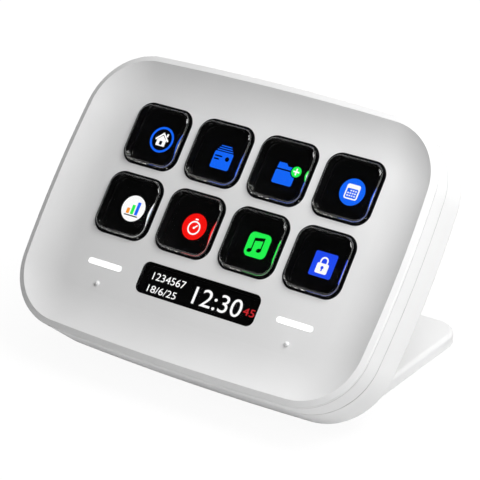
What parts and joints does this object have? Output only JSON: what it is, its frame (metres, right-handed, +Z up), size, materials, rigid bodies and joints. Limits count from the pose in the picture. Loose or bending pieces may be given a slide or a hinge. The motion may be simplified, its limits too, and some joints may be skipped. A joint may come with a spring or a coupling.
{
  "type": "display key pad",
  "caption": "White desk keypad with square display keys, a small information display, light bars and a tilted case on a bent stand.",
  "frame": {"origin": "middle of the bounding box's footprint, on the table", "axes": "+X to the user's right along the case's width, -Y towards the user, +Z up"},
  "size_m": [0.109, 0.0772, 0.0721],
  "materials": {
    "white_shell": "fine satin texture",
    "black_plastic": "satin",
    "clear_plastic": "polished, clear",
    "diffuser": "milky, lit from behind",
    "lamp": "small lamp bodies",
    "black_rubber": "matt",
    "silicone": "matt",
    "foam": "conductive foam",
    "display_glass": "polished panel face",
    "tray_metal": "folded sheet",
    "socket_metal": "drawn shell",
    "steel": "plated screws",
    "circuit_board": "solder mask",
    "ribbon": "polyimide ribbon"
  },
  "bodies": {
    "case": {"front_cover": "white_shell", "side_frame": "white_shell", "rear_cover": "white_shell", "stand": "white_shell", "stand_pad": "black_rubber", "stand_screws": "steel", "case_screws": "steel", "key_frame": "black_plastic", "key_mat": "silicone", "contact_board": "circuit_board", "frame_screws": "steel", "display_panel": "display_glass", "display_tray": "tray_metal", "display_flex": "ribbon", "key_flex": "ribbon", "info_window": "clear_plastic", "light_bar_left": "diffuser", "light_bar_right": "diffuser", "light_leds": "lamp", "touch_pad_left": "foam", "touch_pad_right": "foam", "main_board": "circuit_board", "board_chips": "black_plastic", "board_screws": "steel", "usb_socket": "socket_metal"},
    "key_1": {"key_cap_1": "clear_plastic"},
    "key_2": {"key_cap_2": "clear_plastic"},
    "key_3": {"key_cap_3": "clear_plastic"},
    "key_4": {"key_cap_4": "clear_plastic"},
    "key_5": {"key_cap_5": "clear_plastic"},
    "key_6": {"key_cap_6": "clear_plastic"},
    "key_7": {"key_cap_7": "clear_plastic"},
    "key_8": {"key_cap_8": "clear_plastic"}
  },
  "joints": [
    {"name": "key_1_press", "type": "slide", "parent": "case", "child": "key_1", "axis": [0, 0.766, -0.6428], "range_m": [0, 0.0009], "stiffness_N_per_m": 600, "deforming": ["key_mat"]},
    {"name": "key_2_press", "type": "slide", "parent": "case", "child": "key_2", "axis": [0, 0.766, -0.6428], "range_m": [0, 0.0009], "stiffness_N_per_m": 600, "deforming": ["key_mat"]},
    {"name": "key_3_press", "type": "slide", "parent": "case", "child": "key_3", "axis": [0, 0.766, -0.6428], "range_m": [0, 0.0009], "stiffness_N_per_m": 600, "deforming": ["key_mat"]},
    {"name": "key_4_press", "type": "slide", "parent": "case", "child": "key_4", "axis": [0, 0.766, -0.6428], "range_m": [0, 0.0009], "stiffness_N_per_m": 600, "deforming": ["key_mat"]},
    {"name": "key_5_press", "type": "slide", "parent": "case", "child": "key_5", "axis": [0, 0.766, -0.6428], "range_m": [0, 0.0009], "stiffness_N_per_m": 600, "deforming": ["key_mat"]},
    {"name": "key_6_press", "type": "slide", "parent": "case", "child": "key_6", "axis": [0, 0.766, -0.6428], "range_m": [0, 0.0009], "stiffness_N_per_m": 600, "deforming": ["key_mat"]},
    {"name": "key_7_press", "type": "slide", "parent": "case", "child": "key_7", "axis": [0, 0.766, -0.6428], "range_m": [0, 0.0009], "stiffness_N_per_m": 600, "deforming": ["key_mat"]},
    {"name": "key_8_press", "type": "slide", "parent": "case", "child": "key_8", "axis": [0, 0.766, -0.6428], "range_m": [0, 0.0009], "stiffness_N_per_m": 600, "deforming": ["key_mat"]}
  ]
}
